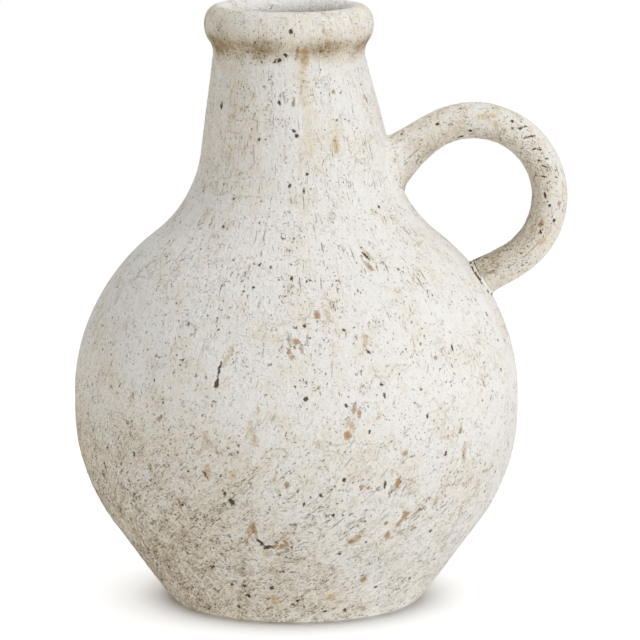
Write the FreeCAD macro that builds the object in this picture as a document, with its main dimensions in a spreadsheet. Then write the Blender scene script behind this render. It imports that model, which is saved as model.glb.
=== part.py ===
import FreeCAD, Part
import math
import os
import Sketcher
from FreeCAD import Placement, Rotation, Vector

# A round-bellied earthenware jug with a conical neck, a rolled rim and one ring handle.
# Z is the axis of the belly, z = 0 is the table, and the handle stands out along +X.

# Driving sizes: millimetres, and degrees for the angles
SIZES = (
    ("wall_thickness", 7.0, "thrown wall, square to its surface"),
    ("floor_thickness", 9.0, "slab that closes the foot"),
    ("foot_radius", 59.1, "flat of the foot, inside its rounded edge"),
    ("belly_centre_offset", 6.1, "how far out from the axis the belly curve is centred"),
    ("belly_curve_radius", 105.5, "radius of the belly curve"),
    ("foot_slope", 35.4, "angle of the foot cone from upright"),
    ("foot_edge_radius", 8.0, "rounding of the edge that it stands on"),
    ("shoulder_angle", 52.3, "where on the belly curve the shoulder turns hollow"),
    ("shoulder_sweep_radius", 65.5, "radius of the hollow sweep from shoulder to neck"),
    ("neck_slope", 10.4, "angle of the neck cone from upright"),
    ("neck_length", 49.0, "height of the neck cone"),
    ("rim_lean", 3.6, "how far the potter's hand left the rim off the belly's axis"),
    ("groove_radius", 9.1, "radius of the groove under the rim"),
    ("groove_flare", 36.0, "angle at which the groove turns into the roll of the rim"),
    ("rim_roll_radius", 16.4, "radius of the outer roll of the rim"),
    ("crest_turn", 14.5, "angle at which the roll turns into the crest"),
    ("crest_radius", 6.8, "radius of the crest of the lip"),
    ("loop_reach", 41.9, "from the foot of the neck out to the centre of the handle ring"),
    ("loop_drop", 21.6, "from the foot of the neck down to the centre of the handle ring"),
    ("loop_radius", 38.6, "centre line of the handle ring"),
    ("handle_thickness", 18.2, "thickness of the handle as seen from the front"),
    ("handle_width", 22.0, "width of the handle, along Y"),
    ("loop_start", 120.0, "angle on the ring where its upper root begins"),
    ("loop_end", 35.0, "angle on the ring, downwards, where its lower root begins"),
    ("upper_root_height", 36.0, "flared end of the handle on the neck"),
    ("upper_root_width", 31.0, "the same, along Y"),
    ("upper_root_drop", 12.2, "from the foot of the neck down to the middle of that end"),
    ("lower_root_height", 25.0, "flared end of the handle on the shoulder"),
    ("lower_root_width", 28.0, "the same, along Y"),
    ("lower_root_angle", 34.5, "where on the belly curve that end lies"),
)

# Each handle section's corners are rounded by this share of its thickness, which leaves it a soft oval
CORNER_SHARE = 0.45

# The middle section of each root: its place on the handle ring and its tilt as shares of the angle where the
# root begins, its distance from the ring's centre as a share of the ring's radius, and its thickness and
# width as shares of the handle's. The last share is the tilt of the flared end.
UPPER_ROOT_SHARES = {"turn": 1.15, "tilt": 1.075, "reach": 1.058, "thick": 1.14, "wide": 1.08, "end_tilt": 0.93}
LOWER_ROOT_SHARES = {"turn": 1.66, "tilt": 1.66, "reach": 1.023, "thick": 1.1, "wide": 1.06, "end_tilt": 1.77}

# Places that follow from the driving sizes. The suffix _out is a radius and _up is a height.
OUTLINE = (
    ("inner_belly", "Size.belly_curve_radius - Size.wall_thickness"),
    ("inner_shoulder", "Size.shoulder_sweep_radius + Size.wall_thickness"),
    ("edge_up", "Size.foot_edge_radius * (1 - sin(Size.foot_slope))"),
    ("edge_out", "Size.foot_radius + Size.foot_edge_radius * cos(Size.foot_slope)"),
    # The belly sits as high as the foot cone needs to run from the foot out to the belly curve
    ("foot_out", "Size.belly_centre_offset + Size.belly_curve_radius * cos(Size.foot_slope)"),
    ("foot_up", "Outline.edge_up + (Outline.foot_out - Outline.edge_out) / tan(Size.foot_slope)"),
    ("belly_up", "Outline.foot_up + Size.belly_curve_radius * sin(Size.foot_slope)"),
    ("belly_out", "Size.belly_centre_offset + Size.belly_curve_radius"),
    ("belly_in", "Size.belly_centre_offset + Outline.inner_belly"),
    # Foot cone inside, and where both its faces meet the floor slab
    ("inner_foot_out", "Size.belly_centre_offset + Outline.inner_belly * cos(Size.foot_slope)"),
    ("inner_foot_up", "Outline.belly_up - Outline.inner_belly * sin(Size.foot_slope)"),
    ("floor_out", "Outline.foot_out - (Outline.foot_up - Size.floor_thickness) * tan(Size.foot_slope)"),
    ("floor_in", "Outline.floor_out - Size.wall_thickness / cos(Size.foot_slope)"),
    # Where the belly turns into the hollow shoulder, outside and inside
    ("turn_out", "Size.belly_centre_offset + Size.belly_curve_radius * cos(Size.shoulder_angle)"),
    ("turn_up", "Outline.belly_up + Size.belly_curve_radius * sin(Size.shoulder_angle)"),
    ("inner_turn_out", "Size.belly_centre_offset + Outline.inner_belly * cos(Size.shoulder_angle)"),
    ("inner_turn_up", "Outline.belly_up + Outline.inner_belly * sin(Size.shoulder_angle)"),
    ("sweep_out", "Outline.turn_out + Size.shoulder_sweep_radius * cos(Size.shoulder_angle)"),
    ("sweep_up", "Outline.turn_up + Size.shoulder_sweep_radius * sin(Size.shoulder_angle)"),
    # Foot of the neck cone, where the hollow sweep has turned as steep as the neck
    ("neck_out", "Outline.sweep_out - Size.shoulder_sweep_radius * cos(Size.neck_slope)"),
    ("neck_up", "Outline.sweep_up - Size.shoulder_sweep_radius * sin(Size.neck_slope)"),
    ("neck_fall", "Outline.sweep_up - Outline.neck_up"),
    ("neck_in", "Outline.sweep_out - sqrt(Outline.inner_shoulder ^ 2 - Outline.neck_fall ^ 2)"),
    # Head of the neck cone, which the rim sits on
    ("head_out", "Outline.neck_out - Size.neck_length * tan(Size.neck_slope)"),
    ("head_in", "Outline.head_out - (Outline.neck_out - Outline.neck_in)"),
    ("head_up", "Outline.neck_up + Size.neck_length"),
    # Groove, roll and crest of the rim
    ("groove_centre", "Outline.head_out + Size.groove_radius * cos(Size.neck_slope)"),
    ("groove_centre_up", "Outline.head_up + Size.groove_radius * sin(Size.neck_slope)"),
    ("groove_out", "Outline.groove_centre - Size.groove_radius * cos(Size.groove_flare)"),
    ("groove_up", "Outline.groove_centre_up + Size.groove_radius * sin(Size.groove_flare)"),
    ("roll_centre", "Outline.groove_out - Size.rim_roll_radius * cos(Size.groove_flare)"),
    ("roll_centre_up", "Outline.groove_up + Size.rim_roll_radius * sin(Size.groove_flare)"),
    ("roll_out", "Outline.roll_centre + Size.rim_roll_radius * cos(Size.crest_turn)"),
    ("roll_up", "Outline.roll_centre_up + Size.rim_roll_radius * sin(Size.crest_turn)"),
    ("crest_centre", "Outline.roll_out - Size.crest_radius * cos(Size.crest_turn)"),
    ("crest_centre_up", "Outline.roll_up - Size.crest_radius * sin(Size.crest_turn)"),
    ("mouth_out", "Outline.crest_centre - Size.crest_radius"),
    # Centre of the handle ring, and the middles of its two flared ends, on the inner face of the wall
    ("loop_out", "Outline.neck_out + Size.loop_reach"),
    ("loop_up", "Outline.neck_up - Size.loop_drop"),
    ("upper_end_up", "Outline.neck_up - Size.upper_root_drop"),
    ("lower_end_out", "Size.belly_centre_offset + Outline.inner_belly * cos(Size.lower_root_angle)"),
    ("lower_end_up", "Outline.belly_up + Outline.inner_belly * sin(Size.lower_root_angle)"),
)

doc = FreeCAD.newDocument("jug")


def add_sizes():
    """Write the driving sizes in a sheet, and the places that follow from them in a set beside it."""
    sheet = doc.addObject("Spreadsheet::Sheet", "Size")
    for row, (name, number, note) in enumerate(SIZES, start=1):
        sheet.set(f"A{row}", note)
        sheet.set(f"B{row}", str(number))
        sheet.setAlias(f"B{row}", name)
    doc.recompute()
    outline = doc.addObject("App::VarSet", "Outline")
    for name, formula in OUTLINE:
        outline.addProperty("App::PropertyFloat", name)
        outline.setExpression(name, formula)
    doc.recompute()
    return outline


def value_of(formula):
    """Work out a formula of the sheet's sizes."""
    result = outline.evalExpression(formula)
    return float(getattr(result, "Value", result))


def add_body(label):
    """Start a sub-part."""
    body = doc.addObject("PartDesign::Body", label)
    body.Label = label
    return body


def add_sketch(body, name, role):
    """Start a sketch on one of the body's own origin planes."""
    sketch = body.newObject("Sketcher::SketchObject", name)
    plane = next(f for f in body.Origin.OriginFeatures if f.Role == role)
    sketch.AttachmentSupport = (plane, [""])
    sketch.MapMode = "FlatFace"
    return sketch


def bind(sketch, constraint, formula):
    """Add a constraint and tie it to a formula, so that it follows the sheet."""
    index = sketch.addConstraint(constraint)
    sketch.setExpression(f"Constraints[{index}]", formula)


def place_corner(sketch, element, end, across, along):
    """Hold one end of an element at its place: on the axis where the formula is zero, else by its distance."""
    corner = (element, end)
    if across == "0":
        sketch.addConstraint(Sketcher.Constraint("PointOnObject", *corner, -2))
    else:
        bind(sketch, Sketcher.Constraint("DistanceX", -1, 1, *corner, value_of(across)), across)
    if along == "0":
        sketch.addConstraint(Sketcher.Constraint("PointOnObject", *corner, -1))
    else:
        bind(sketch, Sketcher.Constraint("DistanceY", -1, 1, *corner, value_of(along)), along)


def arc_between(start, end, radius, left):
    """Make the arc of under a half circle from start to end that turns left, or right."""
    chord = end - start
    normal = Vector(-chord.y, chord.x, 0).normalize()
    rise = math.sqrt(radius ** 2 - (chord.Length / 2) ** 2)
    centre = (start + end) / 2 + normal * (rise if left else -rise)
    first, last = (start, end) if left else (end, start)
    angles = [math.atan2(point.y - centre.y, point.x - centre.x) for point in (first, last)]
    circle = Part.Circle(centre, Vector(0, 0, 1), radius)
    return Part.ArcOfCircle(circle, *angles)


def draw_outline(sketch, steps):
    """Close a loop through corners. A step is a corner and what leads on from it: None for a line, or an
    arc's radius and whether it turns left."""
    corners = [Vector(value_of(across), value_of(along), 0) for (across, along), bend in steps]
    ends = []
    for index, (corner, bend) in enumerate(steps):
        start = corners[index]
        end = corners[(index + 1) % len(corners)]
        if bend is None:
            element = sketch.addGeometry(Part.LineSegment(start, end), False)
            ends.append((element, 1, 2))
        else:
            radius, left = bend
            element = sketch.addGeometry(arc_between(start, end, value_of(radius), left), False)
            bind(sketch, Sketcher.Constraint("Radius", element, value_of(radius)), radius)
            ends.append((element, 1, 2) if left else (element, 2, 1))
    for index, (corner, bend) in enumerate(steps):
        element, start, end = ends[index]
        last_element, last_start, last_end = ends[index - 1]
        sketch.addConstraint(Sketcher.Constraint("Coincident", last_element, last_end, element, start))
        place_corner(sketch, element, start, *corner)


def turn_about(feature, sketch, axis):
    """Set up a feature that turns its sketch right round one of the sketch's axes."""
    feature.Profile = sketch
    feature.ReferenceAxis = (sketch, [axis])
    feature.Angle = 360


def revolved(body, name, steps):
    """Turn an outline right round the body's Z axis."""
    sketch = add_sketch(body, f"{name}_outline", "XZ_Plane")
    draw_outline(sketch, steps)
    feature = body.newObject("PartDesign::Revolution", f"{name}_turned")
    turn_about(feature, sketch, "V_Axis")
    return feature


def add_circle(body, name, radius, up, lean):
    """Draw a level circle at a height, off the axis by the lean."""
    sketch = add_sketch(body, name, "XY_Plane")
    sketch.setExpression("AttachmentOffset.Base.x", f"-({lean})")
    sketch.setExpression("AttachmentOffset.Base.z", up)
    circle = sketch.addGeometry(Part.Circle(Vector(0, 0, 0), Vector(0, 0, 1), value_of(radius)), False)
    sketch.addConstraint(Sketcher.Constraint("Coincident", circle, 3, -1, 1))
    bind(sketch, Sketcher.Constraint("Radius", circle, value_of(radius)), radius)
    return sketch


def add_leaning_cone(body, name, kind, low_radius, high_radius):
    """Loft the neck's cone between its foot, on the axis, and its head, off the axis by the lean."""
    low = add_circle(body, f"{name}_foot", low_radius, "Outline.neck_up", "0")
    high = add_circle(body, f"{name}_head", high_radius, "Outline.head_up", "Size.rim_lean")
    loft = body.newObject(kind, f"{name}_loft")
    loft.Profile = low
    loft.Sections = [high]
    loft.Ruled = True
    return loft


def make_foot_disc():
    """The floor slab with the rounded edge that the jug stands on."""
    body = add_body("foot_disc")
    revolved(body, "disc", (
        (("0", "0"), None),
        (("Size.foot_radius", "0"), ("Size.foot_edge_radius", True)),
        (("Outline.edge_out", "Outline.edge_up"), None),
        (("Outline.floor_out", "Size.floor_thickness"), None),
        (("0", "Size.floor_thickness"), None),
    ))
    return body


def make_lower_bowl():
    """The lower half of the belly, thrown as a bowl up to the widest ring."""
    body = add_body("lower_bowl")
    revolved(body, "bowl", (
        (("Outline.floor_in", "Size.floor_thickness"), None),
        (("Outline.floor_out", "Size.floor_thickness"), None),
        (("Outline.foot_out", "Outline.foot_up"), ("Size.belly_curve_radius", True)),
        (("Outline.belly_out", "Outline.belly_up"), None),
        (("Outline.belly_in", "Outline.belly_up"), ("Outline.inner_belly", False)),
        (("Outline.inner_foot_out", "Outline.inner_foot_up"), None),
    ))
    return body


def make_shoulder():
    """The upper half of the belly, with the hollow sweep that ends as steep as the neck."""
    body = add_body("shoulder")
    revolved(body, "shoulder", (
        (("Outline.belly_in", "Outline.belly_up"), None),
        (("Outline.belly_out", "Outline.belly_up"), ("Size.belly_curve_radius", True)),
        (("Outline.turn_out", "Outline.turn_up"), ("Size.shoulder_sweep_radius", False)),
        (("Outline.neck_out", "Outline.neck_up"), None),
        (("Outline.neck_in", "Outline.neck_up"), ("Outline.inner_shoulder", True)),
        (("Outline.inner_turn_out", "Outline.inner_turn_up"), ("Outline.inner_belly", False)),
    ))
    return body


def make_neck():
    """The conical neck: its foot is on the axis, and its head leans away from the handle."""
    body = add_body("neck")
    add_leaning_cone(body, "outside", "PartDesign::AdditiveLoft", "Outline.neck_out", "Outline.head_out")
    doc.recompute()
    add_leaning_cone(body, "inside", "PartDesign::SubtractiveLoft", "Outline.neck_in", "Outline.head_in")
    return body


def make_rim():
    """The rolled rim over its groove, turned about its own axis, which the lean sets off the belly's."""
    body = add_body("rim")
    body.setExpression("Placement.Base.x", "-Size.rim_lean")
    revolved(body, "rim", (
        (("Outline.head_in", "Outline.head_up"), None),
        (("Outline.head_out", "Outline.head_up"), ("Size.groove_radius", False)),
        (("Outline.groove_out", "Outline.groove_up"), ("Size.rim_roll_radius", True)),
        (("Outline.roll_out", "Outline.roll_up"), ("Size.crest_radius", True)),
        (("Outline.mouth_out", "Outline.crest_centre_up"), None),
    ))
    return body


def make_outer_space():
    """The space inside the jug's outer face, which the ends of the handle are cut back to."""
    body = add_body("outer_space")
    revolved(body, "space", (
        (("0", "Outline.belly_up"), None),
        (("Outline.belly_out", "Outline.belly_up"), ("Size.belly_curve_radius", True)),
        (("Outline.turn_out", "Outline.turn_up"), ("Size.shoulder_sweep_radius", False)),
        (("Outline.neck_out", "Outline.neck_up"), None),
        (("0", "Outline.neck_up"), None),
    ))
    doc.recompute()
    add_leaning_cone(body, "space", "PartDesign::AdditiveLoft", "Outline.neck_out", "Outline.head_out")
    return body


def draw_oval(sketch, thickness, width, middle="0"):
    """Draw a handle section: a soft oval, thickness along the sketch's X and width along its Y."""
    corner = f"{CORNER_SHARE} * ({thickness})"
    side = f"({thickness}) / 2"
    top = f"({width}) / 2"
    inner_side = f"{side} - {corner}"
    inner_top = f"{top} - {corner}"
    arc = (corner, True)
    draw_outline(sketch, (
        ((f"{middle} + {side}", f"-({inner_top})"), None),
        ((f"{middle} + {side}", inner_top), arc),
        ((f"{middle} + {inner_side}", top), None),
        ((f"{middle} - ({inner_side})", top), arc),
        ((f"{middle} - {side}", inner_top), None),
        ((f"{middle} - {side}", f"-({inner_top})"), arc),
        ((f"{middle} - ({inner_side})", f"-({top})"), None),
        ((f"{middle} + {inner_side}", f"-({top})"), arc),
    ))


def make_handle_loop():
    """The ring of the handle, turned about its own centre from the upper root to the lower one."""
    body = add_body("handle_loop")
    body.setExpression("Placement.Base.x", "Outline.loop_out")
    body.setExpression("Placement.Base.z", "Outline.loop_up")
    sketch = add_sketch(body, "loop_section", "XY_Plane")
    draw_oval(sketch, "Size.handle_thickness", "Size.handle_width", "Size.loop_radius")
    ring = body.newObject("PartDesign::Revolution", "loop_turned")
    turn_about(ring, sketch, "V_Axis")
    ring.Type = "TwoAngles"
    ring.setExpression("Angle", "Size.loop_end")
    ring.setExpression("Angle2", "Size.loop_start")
    return body


def add_root_section(body, name, middle, tilt, thickness, width):
    """Draw a section of a handle root. Its middle is a place in the XZ plane, and tilt is the angle at which
    its thickness stands up from X."""
    sketch = add_sketch(body, name, "XY_Plane")
    across, up = middle
    turned = Rotation(Vector(0, -1, 0), value_of(tilt))
    sketch.AttachmentOffset = Placement(Vector(value_of(across), 0, value_of(up)), turned)
    sketch.setExpression("AttachmentOffset.Base.x", across)
    sketch.setExpression("AttachmentOffset.Base.z", up)
    sketch.setExpression("AttachmentOffset.Rotation.Angle", tilt)
    draw_oval(sketch, thickness, width)
    return sketch


def on_ring(turn, reach_share):
    """A place by its angle on the handle ring, and its distance from the centre as a share of the radius."""
    reach = f"{reach_share} * Size.loop_radius"
    return f"Outline.loop_out + {reach} * cos({turn})", f"Outline.loop_up + {reach} * sin({turn})"


def make_root(label, turn, shares, end, end_size, envelope):
    """Loft a handle root from the ring into the wall, and cut it back to the jug's outer face."""
    body = add_body(f"{label}_blank")
    thickness, width = "Size.handle_thickness", "Size.handle_width"
    middle = on_ring(f"{shares['turn']} * {turn}", shares["reach"])
    middle_size = (f"{shares['thick']} * {thickness}", f"{shares['wide']} * {width}")
    start = add_root_section(body, f"{label}_start", on_ring(turn, 1), turn, thickness, width)
    bend = add_root_section(body, f"{label}_bend", middle, f"{shares['tilt']} * {turn}", *middle_size)
    flare = add_root_section(body, f"{label}_flare", end, f"{shares['end_tilt']} * {turn}", *end_size)
    loft = body.newObject("PartDesign::AdditiveLoft", f"{label}_loft")
    loft.Profile = start
    loft.Sections = [bend, flare]
    doc.recompute()
    root = doc.addObject("Part::Cut", label)
    root.Label = label
    root.Base = body
    root.Tool = envelope
    return root


def make_upper_root(envelope):
    """The flare that joins the ring to the neck."""
    end = ("Outline.neck_in", "Outline.upper_end_up")
    end_size = ("Size.upper_root_height", "Size.upper_root_width")
    return make_root("handle_upper_root", "Size.loop_start", UPPER_ROOT_SHARES, end, end_size, envelope)


def make_lower_root(envelope):
    """The flare that joins the ring to the shoulder."""
    end = ("Outline.lower_end_out", "Outline.lower_end_up")
    end_size = ("Size.lower_root_height", "Size.lower_root_width")
    return make_root("handle_lower_root", "-Size.loop_end", LOWER_ROOT_SHARES, end, end_size, envelope)


def check_and_write(parts):
    """Stop at anything that failed, then write each sub-part's solid to its own file."""
    doc.recompute()
    for item in doc.Objects:
        if {"Invalid", "Error"} & set(item.State):
            raise RuntimeError(f"{item.Label} failed: {item.State}")
    os.makedirs("parts", exist_ok=True)
    for part in parts:
        shape = part.Shape
        if shape.isNull() or not shape.isValid():
            raise RuntimeError(f"{part.Label} has no valid shape")
        box = shape.BoundBox
        print(f"{part.Label}: {len(shape.Solids)} solid, {shape.Volume / 1000:.1f} cm3, "
              f"X {box.XMin:.1f} to {box.XMax:.1f}, Z {box.ZMin:.1f} to {box.ZMax:.1f}")
        shape.exportStep(f"parts/{part.Label}.step")


outline = add_sizes()
vessel = [make_foot_disc(), make_lower_bowl(), make_shoulder(), make_neck(), make_rim()]
outer_space = make_outer_space()
handle = [make_handle_loop(), make_upper_root(outer_space), make_lower_root(outer_space)]
check_and_write(vessel + handle)
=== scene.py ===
import math

import bmesh
import bpy
import numpy as np
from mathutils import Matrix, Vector


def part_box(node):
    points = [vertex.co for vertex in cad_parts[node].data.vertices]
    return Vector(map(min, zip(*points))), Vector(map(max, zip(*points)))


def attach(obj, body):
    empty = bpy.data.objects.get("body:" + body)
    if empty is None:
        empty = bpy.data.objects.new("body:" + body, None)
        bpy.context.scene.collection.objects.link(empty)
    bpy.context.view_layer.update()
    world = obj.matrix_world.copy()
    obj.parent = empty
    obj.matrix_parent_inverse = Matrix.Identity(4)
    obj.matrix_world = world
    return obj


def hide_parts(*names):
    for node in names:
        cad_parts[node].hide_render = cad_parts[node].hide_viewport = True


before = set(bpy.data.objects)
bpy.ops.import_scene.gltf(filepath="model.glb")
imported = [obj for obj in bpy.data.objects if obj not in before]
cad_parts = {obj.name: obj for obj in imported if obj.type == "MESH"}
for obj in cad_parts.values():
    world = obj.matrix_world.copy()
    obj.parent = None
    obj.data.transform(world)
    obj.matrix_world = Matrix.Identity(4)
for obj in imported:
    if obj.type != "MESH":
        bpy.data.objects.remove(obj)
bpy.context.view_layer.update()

# A handmade earthenware jug with a conical neck, a rolled rim and a ring handle, brushed with white slip
# that has worn back to the speckled clay. Everything is in metres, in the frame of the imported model.

MM = 0.001

# Thrown outline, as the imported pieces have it. Angles are in degrees.
WALL = 7.0 * MM
FOOT_RADIUS = 59.1 * MM
FOOT_EDGE = 8.0 * MM
FOOT_SLOPE = 35.4
BELLY_OFFSET = 6.1 * MM
BELLY_CURVE = 105.5 * MM
SHOULDER_ANGLE = 52.3
SHOULDER_SWEEP = 65.5 * MM
NECK_SLOPE = 10.4
RIM_LEAN = 3.6 * MM
GROOVE = 9.1 * MM
GROOVE_FLARE = 36.0
RIM_ROLL = 16.4 * MM
CREST_TURN = 14.5
CREST = 6.8 * MM

# Heights of the seams between the pieces
FLOOR_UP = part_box("foot_disc")[1].z
BELLY_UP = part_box("lower_bowl")[1].z
NECK_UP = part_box("shoulder")[1].z
HEAD_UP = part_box("neck")[1].z

# Handle: its ring, its section, and the angles on the ring where its roots begin
LOOP_RADIUS = 38.2 * MM
LOOP_REACH = 41.9 * MM
LOOP_DROP = 21.6 * MM
LOOP_START = 120.0
LOOP_END = -35.0
HANDLE_THICK = 19.0 * MM
HANDLE_WIDE = 22.0 * MM
HANDLE_SOFTNESS = 2.4
ROOT_DEPTH = 2.5 * MM

# Fineness of the meshes: columns round the jug and the handle, the steps along their outlines, and the
# coarse step on what nobody sees. The shoulder's step keeps that piece under 200,000 triangles.
COLUMNS = 720
HANDLE_COLUMNS = 128
FINE = 0.95 * MM
SHOULDER_FINE = 1.35 * FINE
NECK_FINE = 0.75 * FINE
MOUTH_FINE = 1.3 * FINE
RIM_FINE = 0.6 * MM
HANDLE_FINE = 0.6 * MM
COARSE = 7.0 * MM

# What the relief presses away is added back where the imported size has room: by height, in millimetres
SWELL_HEIGHTS = [0, 3, 12, 45, 80, 92, 101.7, 112, 150, 190, 210, 228, 246, 262, 284, 291, 298]
SWELL = [0, 0.4, 0.9, 1.4, 0.9, 0.3, 0, 0.3, 0.7, 0.9, 1.4, 1.8, 1.5, 1.1, 0.9, 0.6, 0]

# How strongly the brush strokes show, by height in millimetres: most on the neck and low down, least on the
# widest part of the belly, and evenly on the handle
STROKE_HEIGHTS = [0, 60, 115, 175, 262, 276]
STROKES = [0.8, 0.8, 0.3, 0.9, 0.7, 0.2]
HANDLE_STROKES = 0.7
# Radii at which the way round the jug and round the handle is measured for the brush strokes
STROKE_RADIUS = 70 * MM
HANDLE_STROKE_RADIUS = 10 * MM
# Height below which the strokes lean, and how far round, in radians, they have leant at the foot
STROKE_LEAN_BELOW = 150 * MM
STROKE_TWIST = 1.3

# What the camera and the lamps face
JUG_MIDDLE = Vector((0, 0, 150 * MM))

# The pulled handle is lumpier than the thrown wall
HANDLE_RELIEF = 1.5

# Nothing of a mark shows further than this from its edge, in millimetres
FAR_EDGE = 4


def polar(centre, radius, angle):
    """A place in the outline's plane, from a centre, at an angle above level."""
    turn = math.radians(angle)
    return centre[0] + radius * math.cos(turn), centre[1] + radius * math.sin(turn)


BELLY = (BELLY_OFFSET, BELLY_UP)
SWEEP = polar(BELLY, BELLY_CURVE + SHOULDER_SWEEP, SHOULDER_ANGLE)
NECK_FOOT = polar(SWEEP, SHOULDER_SWEEP, 180 + NECK_SLOPE)
NECK_INSIDE = SWEEP[0] - math.sqrt((SHOULDER_SWEEP + WALL) ** 2 - (SWEEP[1] - NECK_FOOT[1]) ** 2)
NECK_HEAD = (NECK_FOOT[0] - (HEAD_UP - NECK_FOOT[1]) * math.tan(math.radians(NECK_SLOPE)), HEAD_UP)
HEAD_INSIDE = NECK_HEAD[0] - NECK_FOOT[0] + NECK_INSIDE
GROOVE_CENTRE = polar(NECK_HEAD, GROOVE, NECK_SLOPE)
ROLL = polar(GROOVE_CENTRE, GROOVE + RIM_ROLL, 180 - GROOVE_FLARE)
LIP = polar(ROLL, RIM_ROLL - CREST, CREST_TURN)
FOOT_CONE = polar(BELLY, BELLY_CURVE, -FOOT_SLOPE)
EDGE_CENTRE = (FOOT_RADIUS, FOOT_EDGE)
LOOP = (NECK_FOOT[0] + LOOP_REACH, NECK_UP - LOOP_DROP)


def arc_rows(centre, radius, start, end, step, hollow=False):
    """Rows of an outline along an arc: radius, height, and the outward direction. A hollow arc's clay lies
    outside its circle."""
    count = max(2, round(abs(math.radians(end - start)) * radius / step) + 1)
    turns = np.radians(np.linspace(start, end, count))
    way = np.stack([np.cos(turns), np.sin(turns)], axis=1)
    return np.hstack([np.array(centre) + radius * way, -way if hollow else way])


def line_rows(start, end, step):
    """Rows of an outline along a line, with the clay on its left."""
    start, end = np.array(start), np.array(end)
    length = np.linalg.norm(end - start)
    along = (end - start) / length
    count = max(2, round(length / step) + 1)
    shares = np.linspace(0, 1, count)[:, None]
    outward = np.tile([along[1], -along[0]], (count, 1))
    return np.hstack([start + (end - start) * shares, outward])


def joined(*stretches):
    """Stretches of an outline end to end, with the places they share taken once."""
    return np.vstack([stretches[0]] + [stretch[1:] for stretch in stretches[1:]])


def cone_radius(height, inset=0.0):
    """Radius of the foot's cone at a height, or of its inner face."""
    slope = math.radians(FOOT_SLOPE)
    return FOOT_CONE[0] - (FOOT_CONE[1] - height) * math.tan(slope) - inset / math.cos(slope)


def lean_at(height):
    """How far the jug's own middle stands off the belly's axis at a height, along X."""
    return -RIM_LEAN * np.clip((height - NECK_UP) / (HEAD_UP - NECK_UP), 0, 1)


def foot_outline():
    """Floor slab with the rounded edge that the jug stands on."""
    seam = (cone_radius(FLOOR_UP), FLOOR_UP)
    outside = joined(
        line_rows((0, 0), (FOOT_RADIUS, 0), 4 * MM),
        arc_rows(EDGE_CENTRE, FOOT_EDGE, -90, -FOOT_SLOPE, RIM_FINE),
        line_rows(polar(EDGE_CENTRE, FOOT_EDGE, -FOOT_SLOPE), seam, FINE),
    )
    return outside, line_rows(seam, (0, FLOOR_UP), COARSE)[1:]


def bowl_outline():
    """Lower half of the belly, from the floor slab to the widest ring."""
    outside = joined(
        line_rows((cone_radius(FLOOR_UP), FLOOR_UP), FOOT_CONE, FINE),
        arc_rows(BELLY, BELLY_CURVE, -FOOT_SLOPE, 0, FINE),
    )
    inner_end = polar(BELLY, BELLY_CURVE - WALL, -FOOT_SLOPE)
    inside = joined(
        arc_rows(BELLY, BELLY_CURVE - WALL, 0, -FOOT_SLOPE, COARSE, hollow=True),
        line_rows(inner_end, (cone_radius(FLOOR_UP, WALL), FLOOR_UP), COARSE),
    )
    return outside, inside


def shoulder_outline():
    """Upper half of the belly and its hollow sweep up to the neck."""
    outside = joined(
        arc_rows(BELLY, BELLY_CURVE, 0, SHOULDER_ANGLE, SHOULDER_FINE),
        arc_rows(SWEEP, SHOULDER_SWEEP, 180 + SHOULDER_ANGLE, 180 + NECK_SLOPE, SHOULDER_FINE, hollow=True),
    )
    dip = math.degrees(math.asin((SWEEP[1] - NECK_FOOT[1]) / (SHOULDER_SWEEP + WALL)))
    inside = joined(
        arc_rows(SWEEP, SHOULDER_SWEEP + WALL, 180 + dip, 180 + SHOULDER_ANGLE, COARSE),
        arc_rows(BELLY, BELLY_CURVE - WALL, SHOULDER_ANGLE, 0, COARSE, hollow=True),
    )
    return outside, inside


def neck_outline():
    """Conical neck, as it is before it leans away from the handle."""
    return (line_rows(NECK_FOOT, NECK_HEAD, NECK_FINE),
            line_rows((HEAD_INSIDE, HEAD_UP), (NECK_INSIDE, NECK_FOOT[1]), COARSE))


def rim_outline():
    """Groove, roll and crest of the rim, and its inner face, which shows in the mouth."""
    outside = joined(
        arc_rows(GROOVE_CENTRE, GROOVE, 180 + NECK_SLOPE, 180 - GROOVE_FLARE, RIM_FINE, hollow=True),
        arc_rows(ROLL, RIM_ROLL, -GROOVE_FLARE, CREST_TURN, RIM_FINE),
        arc_rows(LIP, CREST, CREST_TURN, 180, RIM_FINE),
        line_rows(polar(LIP, CREST, 180), (HEAD_INSIDE, HEAD_UP), MOUTH_FINE),
    )
    return outside, outside[:0]


OUTLINES = {
    "foot_disc": foot_outline(),
    "lower_bowl": bowl_outline(),
    "shoulder": shoulder_outline(),
    "neck": neck_outline(),
    "rim": rim_outline(),
}


def root_path(shares, start_turn, end, end_heading, middle_tilt, end_tilt, outwards):
    """Centres and section directions of a handle root, by the share of the way from the ring into the wall.
    Outwards is 1 where the path runs on round the ring, and -1 where it runs back."""
    start = np.array(polar(LOOP, LOOP_RADIUS, start_turn))
    end = np.array(end)
    chord = np.linalg.norm(end - start)
    headings = np.radians([start_turn - 90 * outwards, end_heading])
    leave, arrive = chord * np.stack([np.cos(headings), np.sin(headings)], axis=1)
    t = shares[..., None]
    centre = ((2 * t ** 3 - 3 * t ** 2 + 1) * start + (t ** 3 - 2 * t ** 2 + t) * leave
              + (3 * t ** 2 - 2 * t ** 3) * end + (t ** 3 - t ** 2) * arrive)
    # Share of the way at which the section has reached its middle tilt
    bend = 0.36
    rise = ((middle_tilt - start_turn) - bend * (end_tilt - start_turn)) / (bend ** 2 - bend)
    tilt = np.radians(start_turn + (end_tilt - start_turn - rise) * shares + rise * shares ** 2)
    return centre, np.stack([np.cos(tilt), np.sin(tilt)], axis=-1)


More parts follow.
